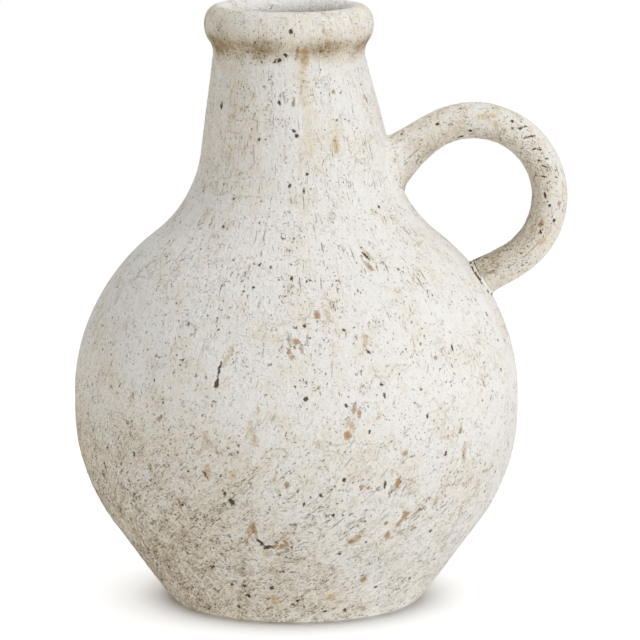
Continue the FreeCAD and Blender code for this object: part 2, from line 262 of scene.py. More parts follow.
def section(centre, across, turns, thick, wide):
    """Places on the soft oval section of the handle, and their directions from its middle."""
    cos, sin = np.cos(turns), np.sin(turns)
    fill = (np.abs(cos / (thick / 2)) ** HANDLE_SOFTNESS + np.abs(sin / (wide / 2)) ** HANDLE_SOFTNESS)
    reach = fill ** (-1 / HANDLE_SOFTNESS)
    way = np.stack([across[..., 0] * cos, sin + 0 * across[..., 0], across[..., 1] * cos], axis=-1)
    middle = np.stack([centre[..., 0], 0 * centre[..., 0], centre[..., 1]], axis=-1)
    return middle + reach[..., None] * way, way


def wall_gap(points):
    """Distance of places from the jug's outer wall, less than nothing inside it."""
    x, y, z = points[..., 0], points[..., 1], points[..., 2]
    radius = np.hypot(x - lean_at(z), y)
    belly = np.hypot(radius - BELLY[0], z - BELLY[1]) - BELLY_CURVE
    sweep = SHOULDER_SWEEP - np.hypot(radius - SWEEP[0], z - SWEEP[1])
    slope = math.radians(NECK_SLOPE)
    neck = (radius - NECK_FOOT[0] + (z - NECK_UP) * math.tan(slope)) * math.cos(slope)
    angle = np.degrees(np.arctan2(z - BELLY[1], radius - BELLY[0]))
    return np.where(angle < SHOULDER_ANGLE, belly, np.where(z < NECK_UP, sweep, neck))


def wall_normal(points):
    """Direction straight out of the jug's outer wall at places."""
    step = 0.01 * MM
    slopes = [wall_gap(points + step * axis) - wall_gap(points - step * axis) for axis in np.eye(3)]
    normal = np.stack(slopes, axis=-1)
    return normal / np.linalg.norm(normal, axis=-1, keepdims=True)


def root_rows(path, end_thick, end_wide, fillet):
    """A handle root as rows from the ring to just under the jug's face, with a fillet where they meet. The
    fillet has a radius for each column."""
    turns = np.linspace(0, 2 * math.pi, HANDLE_COLUMNS, endpoint=False)

    def places(shares):
        centre, across = path(shares)
        thick = HANDLE_THICK + (end_thick - HANDLE_THICK) * shares ** 2
        wide = HANDLE_WIDE + (end_wide - HANDLE_WIDE) * shares ** 2
        return section(centre, across, turns, thick, wide)

    # Each column runs on until it is under the jug's face, past the path's end where it must
    trial = np.linspace(0, 1.2, 481)[:, None] * np.ones(HANDLE_COLUMNS)
    under = wall_gap(places(trial)[0]) < -ROOT_DEPTH
    ends = trial[np.argmax(under, axis=0), 0]
    longest = 40 * MM
    shares = np.linspace(0, 1, round(longest / HANDLE_FINE))[:, None] * ends
    points, way = places(shares)
    gap = np.clip(wall_gap(points), 0, fillet)
    spread = fillet - np.sqrt(fillet ** 2 - (fillet - gap) ** 2)
    normal = wall_normal(points)
    slide = way - np.einsum("ijk,ijk->ij", way, normal)[..., None] * normal
    return points + spread[..., None] * slide


def ring_rows():
    """The handle's ring as rows, from its upper root over the top to its lower root."""
    length = math.radians(LOOP_START - LOOP_END) * LOOP_RADIUS
    turns = np.linspace(0, 2 * math.pi, HANDLE_COLUMNS, endpoint=False)
    angles = np.radians(np.linspace(LOOP_START, LOOP_END, round(length / HANDLE_FINE) + 1))[:, None]
    across = np.stack([np.cos(angles), np.sin(angles)], axis=-1) + 0 * turns[None, :, None]
    centre = np.array(LOOP) + LOOP_RADIUS * across
    return section(centre, across, turns, HANDLE_THICK, HANDLE_WIDE)[0]


def upper_path(shares):
    """The upper root, from the ring back over the shoulder into the foot of the neck."""
    return root_path(shares, LOOP_START, (NECK_INSIDE, NECK_UP - 12.2 * MM), 222, 129, 112, -1)


def lower_path(shares):
    """The lower root, from the ring on round and down into the shoulder."""
    return root_path(shares, LOOP_END, polar(BELLY, BELLY_CURVE - WALL, 35.8), -150, -58, -62, 1)


# Marks that the firing and the wear left: azimuth in degrees, height, half length, half width, and the lean
# of the length off the meridian in degrees. Lengths are in millimetres.
PITS = [
    (-110.7, 127.7, 2.7, 1.25, 5), (-110.3, 135, 4.6, 0.75, 7), (-87.6, 122, 1.4, 1.3, 0),
    (-67.8, 127.5, 1.2, 0.9, -20), (-70.4, 142.6, 1.7, 0.75, -42), (-67.2, 122, 1.6, 0.8, -10),
    (-87.6, 155.2, 1.1, 0.85, -30), (-104, 171.7, 1, 0.8, 0), (-103.6, 181.4, 1.2, 0.7, 10),
    (-99.3, 180.3, 0.9, 0.8, 0), (-91.6, 175.9, 1.1, 0.7, 0), (-86.5, 174.6, 0.9, 0.7, 0),
    (-85.8, 213.2, 1.4, 0.7, 0), (-93.8, 216, 1.1, 0.8, 0), (-106.9, 70.2, 2.2, 1.5, -40),
    (-108.6, 74.4, 2, 0.8, -30), (-121.5, 66, 1, 0.9, 0), (-98.2, 46.2, 2.6, 1.2, 70),
    (-100.3, 48.8, 3.2, 1, -35), (-135.5, 88.5, 1.5, 0.8, 0), (-118, 32, 1.1, 0.8, 60),
    (-149.6, 78, 3, 0.7, -6), (-151.8, 72.5, 3.2, 0.7, -6), (-109.1, 21.7, 1.2, 1, 40),
    (-98.8, 21.5, 1.6, 1, 30), (-114.2, 8.5, 1.3, 0.9, 20), (-89.5, 13.9, 1, 0.9, 0),
    (-69.6, 7.1, 1.2, 0.8, 40), (-78.1, 6.8, 1.1, 0.8, 20), (-59.5, 19.3, 1.3, 0.9, 30),
    (-88.8, 290.8, 1.3, 1, 0), (-92.4, 279, 1.1, 0.9, -50), (-97, 276.4, 1.1, 0.95, 60),
    (-100.8, 275.4, 0.8, 0.75, 0), (-145.9, 251.5, 1.4, 1, 0), (-98.3, 255.7, 1.8, 0.7, -25),
    (-90, 242.3, 1.5, 0.7, -45), (-88.3, 239.9, 1.1, 0.9, 0), (-71.5, 105, 1.2, 0.8, 20),
    (-62, 184, 3, 0.8, -15), (-43.5, 140, 1.5, 0.8, 0), (-55, 110, 1.2, 0.9, 0),
    (-78, 82, 1.1, 0.9, 0), (-88, 70, 1.2, 0.8, 20), (-49, 90, 1.3, 0.9, 15),
    (-108.3, 15.8, 1.6, 1.1, 0), (-113.4, 82.9, 2, 0.8, -30), (-66.9, 77.9, 2, 0.8, 0),
    (-20, 150, 1.6, 0.9, 10), (10, 95, 1.8, 1, 0), (40, 130, 2, 1, 15),
    (75, 160, 1.5, 0.9, 0), (88, 90, 2.4, 1.1, 5), (110, 120, 1.4, 1, 0),
    (140, 70, 1.8, 1, -30), (165, 140, 2.2, 0.9, 10), (95, 205, 1.6, 0.8, 0),
    (60, 60, 1.6, 1, 30), (120, 40, 1.4, 0.9, 50), (175, 100, 1.5, 1.1, 0),
]
CHIPS = [
    (-84, 160, 2.2, 1.5, -15), (-90.3, 148.2, 1.7, 1.5, 60), (-92, 143.8, 2, 0.9, 0),
    (-91.2, 141, 1.3, 1, 60), (-88.6, 145.2, 2.3, 0.75, -5), (-75.4, 117, 2.6, 0.9, 5),
    (-74.2, 114.4, 2.3, 1.1, 0), (-77.2, 103.9, 1.9, 1.9, 0), (-61.8, 92.9, 1.4, 1.2, 20),
    (-50.3, 136.7, 1.1, 0.9, 0), (-33.5, 120.4, 1.3, 0.9, 0), (-73.2, 77.7, 1.2, 1, 0),
    (-71.5, 77, 1, 0.8, 0), (-62.7, 179.3, 3.2, 1.2, -18), (-59.3, 60.5, 2.8, 1.7, 25),
    (-126.7, 108.1, 1.3, 1.2, 0), (-130, 83.4, 1.6, 1.1, 0), (-122.3, 66.5, 3.4, 0.9, 0),
    (-136.1, 117.5, 1.3, 0.8, 0), (-101.6, 56, 4.6, 1.3, -12), (-96.2, 46.6, 1.8, 1.2, 60),
    (-94.2, 46.8, 2, 1.1, 50), (-95.3, 42, 1.2, 1.1, 0), (-92.8, 48.6, 2.8, 1.1, -20),
    (-104.3, 48.8, 2.4, 0.8, 0), (-84, 281, 2.8, 0.7, 5), (-88.5, 256.7, 2, 0.8, 8),
    (-28.3, 255, 1.9, 0.8, -18), (-59.2, 260.3, 1.1, 0.9, -30), (-44, 100, 1.6, 0.9, 10),
    (-64.9, 57.3, 1.2, 1, 0), (-63.4, 50.4, 2.4, 1.3, -10), (-74.2, 48.6, 1.5, 1, 50),
    (-66, 25.2, 1.5, 1, 60), (-68.8, 76.1, 1.1, 1, 0),
    (-63.3, 78.7, 2.6, 1.1, 5), (-92.4, 79.8, 1.7, 1.3, 0), (-60.6, 57, 2.4, 1, 25),
    (15, 140, 2.2, 1.4, -20), (50, 100, 1.8, 1.5, 0), (85, 125, 2.5, 1.3, 10),
    (100, 75, 2, 1.6, 0), (130, 150, 2.4, 1.2, -15), (160, 85, 1.8, 1.4, 20),
    (70, 190, 2, 0.9, 0), (115, 245, 1.8, 0.9, 0),
]
STAINS = [
    (-81, 160.3, 2.4, 1.2, -10), (-108.6, 139.5, 2.2, 1.1, 20), (-107.6, 143.2, 2.4, 0.9, 25),
    (-76.3, 108.6, 2, 1.2, 0), (-70.9, 149, 1.6, 1.1, 0), (-70.9, 145.6, 1.5, 1, 0),
    (-42.5, 88.4, 2.6, 1.4, 10), (-49.9, 66.2, 2.6, 1.5, 0), (-63.6, 78.3, 2.4, 1.2, 30),
    (-69.1, 113, 2.3, 1, 0), (-99.6, 116, 2.8, 0.9, 0), (-101.5, 107, 2.2, 1.2, 30),
    (-66, 25.2, 2.6, 1.6, 0), (-78, 278.5, 5.5, 1.8, 0),
    (-61.3, 184.6, 3.4, 1.2, -15), (-64.1, 234.5, 4.6, 1.9, 0),
    (-99, 43, 2.6, 1.4, 0), (-103, 54, 3, 1.3, 10), (-106, 84, 2.4, 1.4, 20),
    (-97.9, 14.3, 4.4, 2.6, 0), (-76.9, 15.8, 2.8, 1.6, 0), (-113, 101.5, 3.4, 1.2, -25),
    (-100.3, 102, 3.2, 1.5, 0), (-73.2, 49.7, 4.4, 2, 50), (-113, 84, 3.4, 1.8, 0),
    (20, 80, 3, 1.8, 0), (90, 150, 3.4, 1.6, 10), (140, 110, 2.6, 1.8, 0),
    (60, 235, 4, 1.8, 0), (170, 170, 3, 1.4, 0), (120, 60, 2.8, 1.8, 20),
]
# The same on the handle: angle on the ring, angle round its section from the outer edge towards the back
HANDLE_PITS = [
    (64, -60, 1, 0.75, 50), (57, -66, 1.5, 0.42, 48), (55, -52, 1.2, 0.55, 70), (50, -78, 1.5, 0.45, 66),
    (47, -62, 1.3, 0.5, 52), (40, -84, 1.6, 0.38, 68), (37, -74, 1.2, 0.42, 50), (31, -92, 1.5, 0.38, 60),
    (29, -70, 1, 0.45, 50), (25, -86, 1.6, 0.38, 45), (18, -98, 1.5, 0.38, 58), (15, -66, 1, 0.65, 40),
    (3, -104, 1.6, 0.65, 10), (-5, -92, 0.9, 0.75, 0), (-15, -72, 0.9, 0.7, 0), (-26, -96, 1.1, 0.65, 40),
    (102, -130, 1.6, 0.7, 10), (93, -112, 1, 0.7, 0), (116, -70, 1, 0.7, 0), (80, 70, 1.4, 0.8, 0),
    (40, 95, 1.8, 0.7, 30), (5, 80, 1.2, 0.8, 0), (-20, 110, 1.6, 0.7, 0), (30, 10, 1.2, 0.8, 0),
]
HANDLE_CHIPS = [(-3, -66, 1.3, 1.2, 0), (-21, -104, 1.6, 1.1, 0), (60, 100, 1.8, 1.1, 0)]
HANDLE_STAINS = [
    (83, -70, 4.2, 1.3, 20), (74, -86, 2.4, 1, 0), (-32, -80, 2.4, 1.3, 0), (-27, -120, 2, 1, 30),
    (100, 90, 3, 1.5, 0), (20, 60, 2.4, 1.3, 0),
]


def on_jug(azimuth, height):
    """Middle, length and width directions of a mark on the jug's outer face."""
    for outside, _ in OUTLINES.values():
        # Without the underside, which faces down
        face = outside[outside[:, 2] > 0.2]
        if face[0, 1] <= height <= face[-1, 1]:
            break
    radius, across, up = (np.interp(height, face[:, 1], face[:, i]) for i in (0, 2, 3))
    turn = math.radians(azimuth)
    cos, sin = math.cos(turn), math.sin(turn)
    middle = np.array([radius * cos + lean_at(height), radius * sin, height])
    return middle, np.array([-up * cos, -up * sin, across]), np.array([-sin, cos, 0])


def on_handle(angle, turn):
    """Middle, length and width directions of a mark on the handle's ring."""
    around = np.radians(angle)
    across = np.array([np.cos(around), np.sin(around)])
    centre = np.array(LOOP) + LOOP_RADIUS * across
    middle, way = section(centre, across, np.radians(turn), HANDLE_THICK, HANDLE_WIDE)
    length = np.array([-across[1], 0, across[0]])
    return middle, length, np.cross(way, length)


def mark_edges(points, jug_marks, handle_marks):
    """Distance in millimetres of places from the edge of the nearest mark, less than nothing inside it."""
    edge = np.full(len(points), float(FAR_EDGE))
    placed = [(on_jug(azimuth, height * MM), size) for azimuth, height, *size in jug_marks]
    placed += [(on_handle(angle, turn), size) for angle, turn, *size in handle_marks]
    for (middle, length_way, width_way), (half_length, half_width, lean) in placed:
        away = (points - middle) / MM
        near = np.einsum("ij,ij->i", away, away) < (half_length + FAR_EDGE) ** 2
        along, beside = away[near] @ length_way, away[near] @ width_way
        turn = math.radians(lean)
        along, beside = (along * math.cos(turn) + beside * math.sin(turn),
                         beside * math.cos(turn) - along * math.sin(turn))
        spread = np.hypot(along / half_length, beside / half_width)
        edge[near] = np.minimum(edge[near], (spread - 1) * half_width)
    return edge


def crevice_edge(name, points):
    """The same for the crevice where the handle's lower root was pressed on to the shoulder. It closes every
    few millimetres."""
    if name != "handle_lower_root_skin":
        return np.full(len(points), float(FAR_EDGE))
    clear_of_wall, half_width = 0.9, 0.75
    x, y, _ = points.T / MM
    closed = 0.35 * (1 + np.sin(0.9 * y + 1) * np.cos(0.8 * x))
    return np.abs(wall_gap(points) / MM - clear_of_wall) + closed - half_width


def bump_at(value, middle, half_width):
    """A soft hump: 1 at its middle, falling to nothing."""
    return np.exp(-((value - middle) / half_width) ** 2)


def wear_at(points):
    """How far the slip has worn to warm clay, in part painted shade on the side away from the right soft box
    and on the handle's inner face and lower end, and how thickly grog and burnt-out specks lie, from 0 to 1.
    Heights and radii are in millimetres."""
    x, y, z = points.T / MM
    out = x - lean_at(points[:, 2]) / MM
    azimuth, radius = np.degrees(np.arctan2(y, out)), np.hypot(out, y)
    # Both grow from the belly down towards the foot, and round to the side away from the handle and the right
    # soft box. On that side the warmth is partly painted shade.
    low = np.clip((120 - z) / 110, 0, 0.8)
    left = 0.5 - 0.5 * np.cos(np.radians(azimuth + 30))
    shoulder = bump_at(z, 175, 45)
    warmth_and_shade = 0.1 + 0.58 * low * (0.05 + 0.95 * left) + 0.24 * left * (1 - shoulder)
    grog = 0.08 + 0.78 * low * (0.5 + 0.5 * left) + 0.15 * left * np.clip((235 - z) / 70, 0.6, 1)
    # A blotchy warm band in the groove under the rim, and a streak that ran down from it
    outside = radius > 35.5
    blotches = 0.5 + 0.18 * np.cos(np.radians(8 * (azimuth + 110)))
    band = bump_at(z, 281.3, 5.2) * outside * blotches
    streak = bump_at(azimuth, -80, 4) * np.clip((z - 225) / 20, 0, 1) * (z < 281) * outside
    # The handle is worn most on its inner face, which fingers rub, and at its lower end. There the warmth is
    # partly painted shade, where the ring turns away from the lamps.
    on_ring = (wall_gap(points) > 2.5 * MM) * (z > 130)
    inner_ring_wear_and_shade = on_ring * np.clip((40 - np.hypot(x - LOOP[0] / MM, z - LOOP[1] / MM)) / 6, 0, 1)
    low_ring_wear_and_shade = on_ring * np.clip((LOOP[1] / MM - z) / 30, 0, 1)
    warmth_and_shade = warmth_and_shade + band + 0.22 * streak + 0.1 * on_ring + 0.18 * inner_ring_wear_and_shade + 0.15 * low_ring_wear_and_shade
    grog = grog + 0.6 * band + 0.02 * on_ring + 0.22 * inner_ring_wear_and_shade + 0.1 * low_ring_wear_and_shade
    # The slip lies clean inside the mouth
    in_mouth = (z > 274) * ~outside
    return np.where(in_mouth, 0.08, warmth_and_shade), np.where(in_mouth, 0.08, grog)


def mesh_piece(name, rows, outward, skin, flow, strokes, closed, rings):
    """Make a closed, smooth mesh from rows of places, with what its clay needs to know at each of them. Rings
    are the rows whose edges stay sharp, such as a seam's."""
    count, columns = rows.shape[:2]
    points = rows.reshape(-1, 3)
    last = count if closed else count - 1
    row, column = np.meshgrid(np.arange(last), np.arange(columns), indexing="ij")
    near, far, turned = row * columns, (row + 1) % count * columns, (column + 1) % columns
    faces = np.stack([near + column, near + turned, far + turned, far + column], axis=-1).reshape(-1, 4)
    mesh = bpy.data.meshes.new(name)
    mesh.from_pydata(points.tolist(), [], faces.tolist(), shade_flat=False)
    warmth_and_shade, grog = wear_at(points)
    values = {
        "outward": outward,
        "skin": skin,
        "flow": flow,
        "strokes": strokes,
        "warmth_and_shade": warmth_and_shade,
        "grog": grog,
        "pit_edge": np.minimum(mark_edges(points, PITS, HANDLE_PITS), crevice_edge(name, points)),
        "chip_edge": mark_edges(points, CHIPS, HANDLE_CHIPS),
        "stain_edge": mark_edges(points, STAINS, HANDLE_STAINS),
    }
    for label, value in values.items():
        vector = value.size == points.size
        layer = mesh.attributes.new(label, "FLOAT_VECTOR" if vector else "FLOAT", "POINT")
        layer.data.foreach_set("vector" if vector else "value", value.astype(np.float32).ravel())
    ends = np.empty(2 * len(mesh.edges), dtype=np.int32)
    mesh.edges.foreach_get("vertices", ends)
    ends = ends.reshape(-1, 2) // columns
    sharp = (ends[:, 0] == ends[:, 1]) & np.isin(ends[:, 0], rings)
    mesh.attributes.new("sharp_edge", "BOOLEAN", "EDGE").data.foreach_set("value", sharp)
    bm = bmesh.new()
    bm.from_mesh(mesh)
    bmesh.ops.remove_doubles(bm, verts=bm.verts, dist=0.0005 * MM)
    if bm.calc_volume(signed=True) < 0:
        bmesh.ops.reverse_faces(bm, faces=bm.faces)
    bm.to_mesh(mesh)
    bm.free()
    piece = bpy.data.objects.new(name, mesh)
    bpy.context.scene.collection.objects.link(piece)
    return piece


def thrown_piece(name, way):
    """Turn one of the outlines into a piece. Way is the length of the outer face below it."""
    outside, inside = OUTLINES[name]
    rows = np.vstack([outside, inside])
    turns = np.linspace(0, 2 * math.pi, COLUMNS, endpoint=False)
    level = np.ones_like(turns)
    radius, height, across, up = (rows[:, i:i + 1] for i in range(4))
    # Only the outer face swells
    swell = np.interp(height / MM, SWELL_HEIGHTS, SWELL) * MM * np.clip(across, 0, 1)
    swell[len(outside):] = 0
    full = radius + swell
    points = np.stack([full * np.cos(turns) + lean_at(height), full * np.sin(turns), height * level], axis=-1)
    outward = np.stack([across * np.cos(turns), across * np.sin(turns), up * level], axis=-1)
    along = np.concatenate([[0], np.cumsum(np.linalg.norm(np.diff(rows[:, :2], axis=0), axis=1))])[:, None]
    low = np.clip(1 - height / STROKE_LEAN_BELOW, 0, 1)
    wound = turns + STROKE_TWIST * low ** 2
    flow = np.stack([
        STROKE_RADIUS * np.cos(wound),
        STROKE_RADIUS * np.sin(wound),
        (way + along) * level,
    ], axis=-1)
    skin = np.zeros((len(rows), COLUMNS))
    skin[:len(outside)] = 1
    if name == "foot_disc":
        # The flat that it stands on stays flat, and the relief grows over the first 2 mm
        skin *= np.clip(height / (2 * MM), 0, 1)
    if name == "rim":
        # The inner face runs out plain, in its last 5 mm, into the neck's plain inner wall
        inner = across[:, 0] < -0.5
        skin[inner] *= np.clip((height[inner] - HEAD_UP) / (5 * MM), 0, 1)
    strokes = np.interp(height / MM, STROKE_HEIGHTS, STROKES) * level
    closed = name != "foot_disc"
    rings = [0, len(outside) - 1, len(outside), len(rows) - 1] if closed else [len(outside) - 1]
    return mesh_piece(name + "_skin", points, outward, skin, flow, strokes, closed, rings)


def outer_length(name):
    """Length of a piece's outer face along its outline."""
    outside = OUTLINES[name][0]
    return np.linalg.norm(np.diff(outside[:, :2], axis=0), axis=1).sum()


def make_jug():
    """All the thrown pieces, from the foot up."""
    made, way = [], 0.0
    for name in OUTLINES:
        made.append(thrown_piece(name, way))
        way += outer_length(name)
    return made


def make_handle():
    """The ring and the two roots of the handle, cut from one run of rows so that they meet without a step."""
    turns = np.linspace(0, 2 * math.pi, HANDLE_COLUMNS, endpoint=False)
    # Each root has its thickness and its width at the wall, and the radius of its fillet in each column. The
    # clay was smeared out furthest at the roots' sides.
    sides = np.sin(turns) ** 2
    upper = root_rows(upper_path, 36 * MM, 31 * MM, (4 - np.cos(turns) + 7 * sides) * MM)[::-1]
    ring = ring_rows()
    lower = root_rows(lower_path, 20 * MM, 26 * MM, (2.2 + 0.8 * np.cos(turns) + 1.5 * sides) * MM)
    rows = np.concatenate([upper, ring[1:], lower[1:]])
    around = np.roll(rows, -1, axis=1) - np.roll(rows, 1, axis=1)
    onward = np.gradient(rows, axis=0)
    outward = np.cross(onward, around)
    outward /= np.linalg.norm(outward, axis=-1, keepdims=True)
    middle = rows.mean(axis=1)
    if np.einsum("ijk,ijk->", outward, rows - middle[:, None]) < 0:
        outward = -outward
    along = np.concatenate([[0], np.cumsum(np.linalg.norm(np.diff(middle, axis=0), axis=1))])
    flow = np.stack([
        HANDLE_STROKE_RADIUS * np.cos(turns) + 0 * along[:, None],
        HANDLE_STROKE_RADIUS * np.sin(turns) + 0 * along[:, None],
        along[:, None] + 0 * turns,
    ], axis=-1)
    made = []
    breaks = [0, len(upper) - 1, len(upper) + len(ring) - 2, len(rows) - 1]
    names = ("handle_upper_root", "handle_loop", "handle_lower_root")
    for name, first, last in zip(names, breaks, breaks[1:]):
        # A piece's ends close on the middles of its first and last sections
        picks = np.array([first] + list(range(first, last + 1)) + [last])
        part = rows[picks].copy()
        part[0], part[-1] = middle[first], middle[last]
        shape = part.shape[:2]
        skin = np.full(shape, HANDLE_RELIEF)
        skin[[0, -1]] = 0
        strokes = np.full(shape, HANDLE_STROKES)
        rings = [1, len(picks) - 2]
        made.append(mesh_piece(name + "_skin", part, outward[picks], skin, flow[picks], strokes,
                               closed=False, rings=rings))
    return made


def add(tree, kind, feeds=None, result=0, **settings):
    """Add a node with its settings, and with values or other nodes' outputs fed to its inputs. Gives one of
    its outputs."""
    node = tree.nodes.new(kind)
    for name, value in settings.items():
        setattr(node, name, value)
    for key, value in (feeds or {}).items():
        if isinstance(value, bpy.types.NodeSocket):
            tree.links.new(value, node.inputs[key])
        else:
            node.inputs[key].default_value = value
    return node.outputs[result]


def maths(tree, operation, *values, **settings):
    """Add a maths node, fed with values or other nodes' outputs."""
    return add(tree, "ShaderNodeMath", dict(enumerate(values)), operation=operation, **settings)


def ramp(tree, value, start, full, low=0.0, high=1.0, smooth=False):
    """Add a node that goes from low to high while the value goes from start to full, and stays there."""
    feeds = {"Value": value, "From Min": start, "From Max": full, "To Min": low, "To Max": high}
    return add(tree, "ShaderNodeMapRange", feeds, interpolation_type="SMOOTHSTEP" if smooth else "LINEAR")


def blend(tree, share, under, over):
    """Lay a colour over another, by how much of it covers."""
    return add(tree, "ShaderNodeMix", {0: share, 6: under, 7: over}, result=2, data_type="RGBA")


def colour(code):
    """A linear colour from its sRGB hex code."""
    parts = [int(code[i:i + 2], 16) / 255 for i in (1, 3, 5)]
    return tuple(c / 12.92 if c <= 0.04045 else ((c + 0.055) / 1.055) ** 2.4 for c in parts) + (1.0,)


def pit_pattern(tree, place, cell, smallest, largest, empty):
    """Where pits lie, from 0 to 1: one to a cell, but for a share of the cells that stay empty. Sizes and
    places are in mm."""
    spot = add(tree, "ShaderNodeVectorMath", {0: place, "Scale": 1 / cell}, operation="SCALE")
    cells = add(tree, "ShaderNodeTexVoronoi", {"Vector": spot, "Scale": 1}).node.outputs
    reach = maths(tree, "MULTIPLY", cells["Distance"], cell)
    size = ramp(tree, cells["Color"], empty, 0.95, smallest, largest)
    kept = maths(tree, "GREATER_THAN", cells["Color"], empty)
    depth = maths(tree, "SUBTRACT", size, reach)
    inside = ramp(tree, depth, -0.15, 0.2, smooth=True)
    return maths(tree, "MULTIPLY", inside, kept)


def relief_tree():
    """Geometry Nodes that press the fired clay's undulation, strokes and pits into an outer face. They only
    press inwards, so a piece stays within its packed size."""
    tree = bpy.data.node_groups.new("fired_clay_skin", "GeometryNodeTree")
    sockets = [
        ("Geometry", "INPUT", "NodeSocketGeometry"),
        ("Undulation depth", "INPUT", "NodeSocketFloat"),
        ("Undulation size", "INPUT", "NodeSocketFloat"),
        ("Lump depth", "INPUT", "NodeSocketFloat"),
        ("Lump size", "INPUT", "NodeSocketFloat"),
        ("Stroke depth", "INPUT", "NodeSocketFloat"),
        ("Pit depth", "INPUT", "NodeSocketFloat"),
        ("Seed", "INPUT", "NodeSocketFloat"),
        ("Clay", "INPUT", "NodeSocketMaterial"),
        ("Geometry", "OUTPUT", "NodeSocketGeometry"),
    ]
    for name, side, kind in sockets:
        tree.interface.new_socket(name=name, in_out=side, socket_type=kind)
    given = tree.nodes.new("NodeGroupInput").outputs
    spot = add(tree, "GeometryNodeInputPosition")
    place = add(tree, "ShaderNodeVectorMath", {0: spot, "Scale": 1 / MM}, operation="SCALE")
    known = {}
    for label in ("outward", "flow", "skin", "strokes", "grog", "pit_edge", "chip_edge"):
        kind = "FLOAT_VECTOR" if label in ("outward", "flow") else "FLOAT"
        known[label] = add(tree, "GeometryNodeInputNamedAttribute", {"Name": label}, data_type=kind)
    swells = {}
    for label in ("Undulation", "Lump"):
        rate = maths(tree, "DIVIDE", 1, given[label + " size"])
        swells[label] = add(tree, "ShaderNodeTexNoise", {
            "Vector": place, "W": given["Seed"], "Scale": rate, "Detail": 2}, noise_dimensions="4D")
    # Lumps stand where the grog lies thick
    lumpy = maths(tree, "MULTIPLY_ADD", known["grog"], 1.5, 0.3)
    lump = maths(tree, "MULTIPLY", swells["Lump"], lumpy)
    # Tool strokes 3 mm wide and 22 mm long
    drawn = add(tree, "ShaderNodeVectorMath", {0: known["flow"], 1: (330, 330, 45)}, operation="MULTIPLY")
    stroke = add(tree, "ShaderNodeTexNoise", {"Vector": drawn, "Scale": 1, "Detail": 1})
    stroke = maths(tree, "MULTIPLY", stroke, known["strokes"])
    # Small pits of the clay's own, and then the listed marks
    own_pits = pit_pattern(tree, place, 14, 0.6, 1.3, 0.5)
    marked = ramp(tree, known["pit_edge"], 0.1, -0.7, smooth=True)
    chipped = ramp(tree, known["chip_edge"], 0.1, -0.6, high=0.4, smooth=True)
    pits = maths(tree, "MAXIMUM", own_pits, marked)
    pits = maths(tree, "MAXIMUM", pits, chipped)
    depth = 0.0
    for share, full in ((swells["Undulation"], "Undulation depth"), (lump, "Lump depth"),
                        (stroke, "Stroke depth"), (pits, "Pit depth")):
        depth = maths(tree, "MULTIPLY_ADD", share, given[full], depth)
    depth = maths(tree, "MULTIPLY", depth, known["skin"])
    inward = maths(tree, "MULTIPLY", depth, -MM)
    shift = add(tree, "ShaderNodeVectorMath", {0: known["outward"], "Scale": inward}, operation="SCALE")
    pressed = add(tree, "GeometryNodeSetPosition", {"Geometry": given["Geometry"], "Offset": shift})
    real = add(tree, "GeometryNodeRealizeInstances", {"Geometry": pressed})
    dressed = add(tree, "GeometryNodeSetMaterial", {"Geometry": real, "Material": given["Clay"]})
    tree.links.new(dressed, tree.nodes.new("NodeGroupOutput").inputs[0])
    return tree


def press_relief(piece, tree, clay):
    """Run the relief on a piece and keep the result as its plain mesh. Sizes and depths are in mm."""
    sizes = {"Undulation depth": 0.5, "Undulation size": 26, "Lump depth": 0.55, "Lump size": 3.6,
             "Stroke depth": 0.12, "Pit depth": 0.6, "Seed": 4.0, "Clay": clay}
    modifier = piece.modifiers.new("fired_clay_skin", "NODES")
    modifier.node_group = tree
    for item in tree.interface.items_tree:
        if item.in_out == "INPUT" and item.name in sizes:
            modifier[item.identifier] = sizes[item.name]
    bpy.context.view_layer.update()
    graph = bpy.context.evaluated_depsgraph_get()
    plain = piece.data
    piece.data = bpy.data.meshes.new_from_object(piece.evaluated_get(graph))
    piece.data.name = piece.name
    piece.modifiers.clear()
    bpy.data.meshes.remove(plain)
    for label in ("outward", "skin"):
        piece.data.attributes.remove(piece.data.attributes[label])


